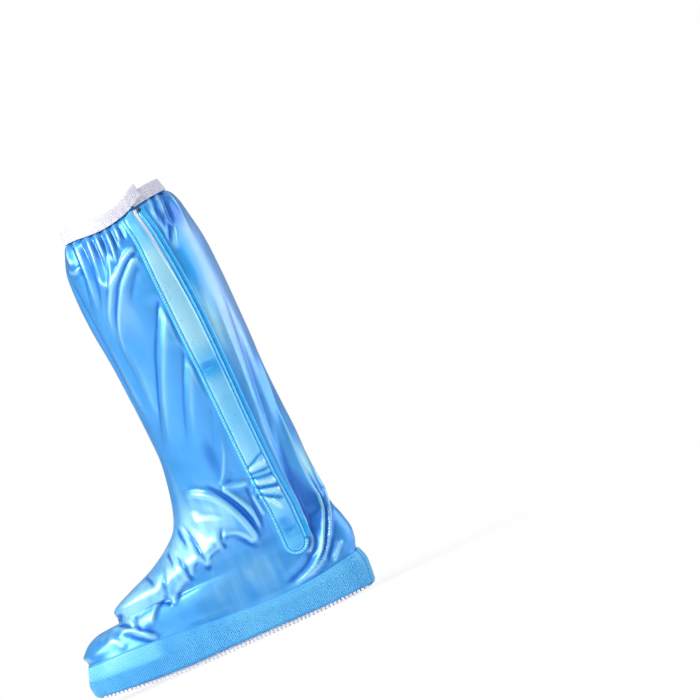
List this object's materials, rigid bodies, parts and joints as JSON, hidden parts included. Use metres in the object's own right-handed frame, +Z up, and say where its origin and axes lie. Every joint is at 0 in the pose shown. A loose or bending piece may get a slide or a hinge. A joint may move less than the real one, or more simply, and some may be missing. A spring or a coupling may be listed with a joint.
{
  "type": "shoe cover",
  "caption": "Knee-high waterproof film shoe cover with a textured band round the foot, ribbed outsole, elastic top and zipped side closure.",
  "frame": {"origin": "centre of the bounding box's floor, on the plane that the outsole stands on", "axes": "+Z up the leg, -X towards the toe, -Y towards the outer side of the left foot, where the closure is"},
  "size_m": [0.29, 0.1204, 0.4391],
  "materials": {
    "film": "glossy pearlescent translucent film",
    "textured_film": "satin film with a fine embossed mesh",
    "sole": "matte off-white with ribs",
    "elastic": "white woven elastic",
    "zip_tape": "white woven zip tape",
    "zip_stop": "grey enamelled metal"
  },
  "bodies": {
    "root": {"film_boot": "film", "foxing_band": "textured_film", "heel_lap": "textured_film", "outsole": "sole", "elastic_band": "elastic", "closure_flap": "film", "flap_seam": "film", "zip_tape": "zip_tape", "zip_ridge": "film", "rear_strip": "film", "zip_stop": "zip_stop"}
  },
  "joints": []
}
